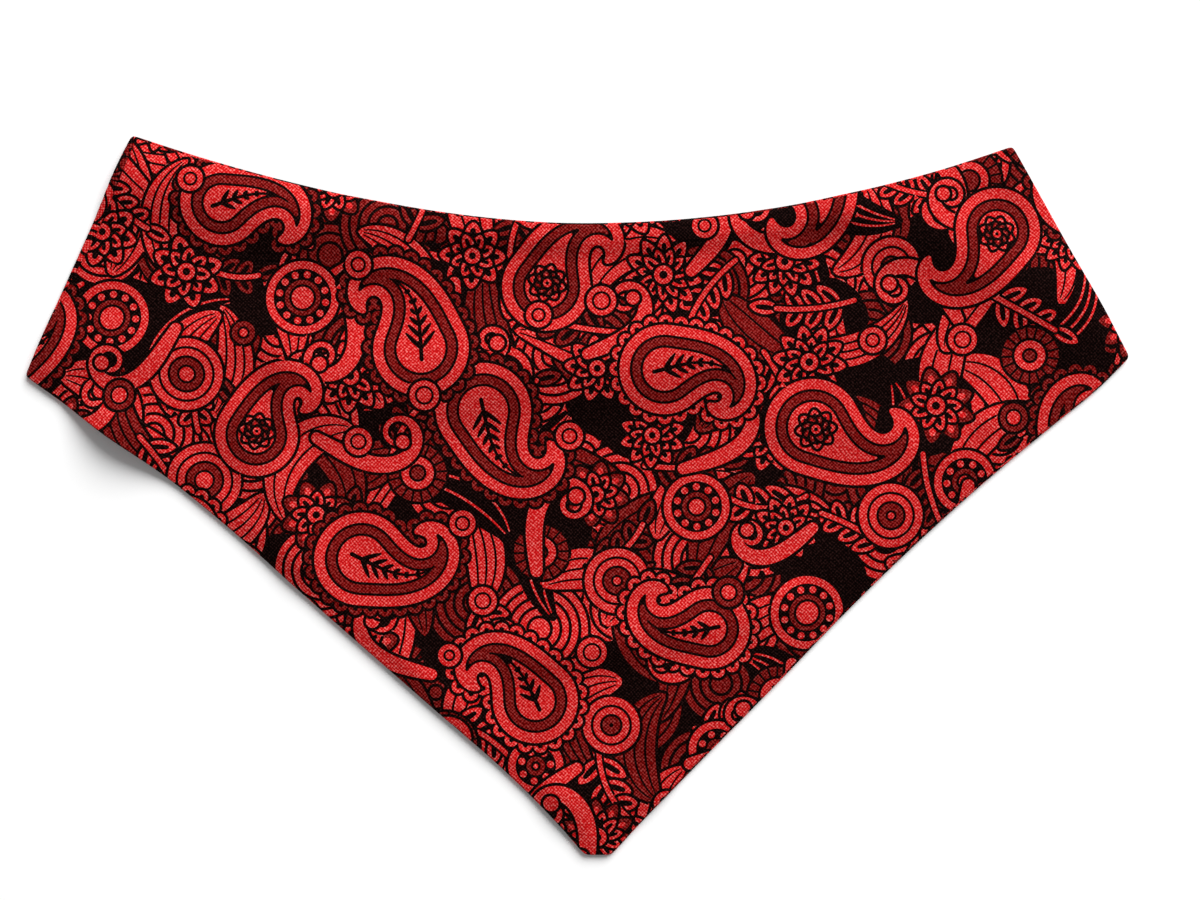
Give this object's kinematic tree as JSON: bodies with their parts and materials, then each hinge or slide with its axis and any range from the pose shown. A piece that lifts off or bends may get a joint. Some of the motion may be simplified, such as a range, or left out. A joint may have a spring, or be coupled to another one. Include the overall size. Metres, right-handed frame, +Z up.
{
  "type": "dog bandana",
  "caption": "Dog bandana in printed cotton, sewn and turned, with a curved neckline, short slanted ends and a blunt tip, lying flat.",
  "frame": {"origin": "on the table surface, under the middle of the outline's box", "axes": "+X to the right along the width from wing to wing, +Y from the tip towards the neckline, +Z up out of the front panel"},
  "size_m": [0.4182, 0.2726, 0.0091],
  "materials": {
    "front_cotton": "matte plain-weave quilting cotton, printed in bright and deep red on near black",
    "back_cotton": "the same printed cotton as the front"
  },
  "bodies": {
    "root": {"front_panel": "front_cotton", "back_panel": "back_cotton"}
  },
  "joints": []
}
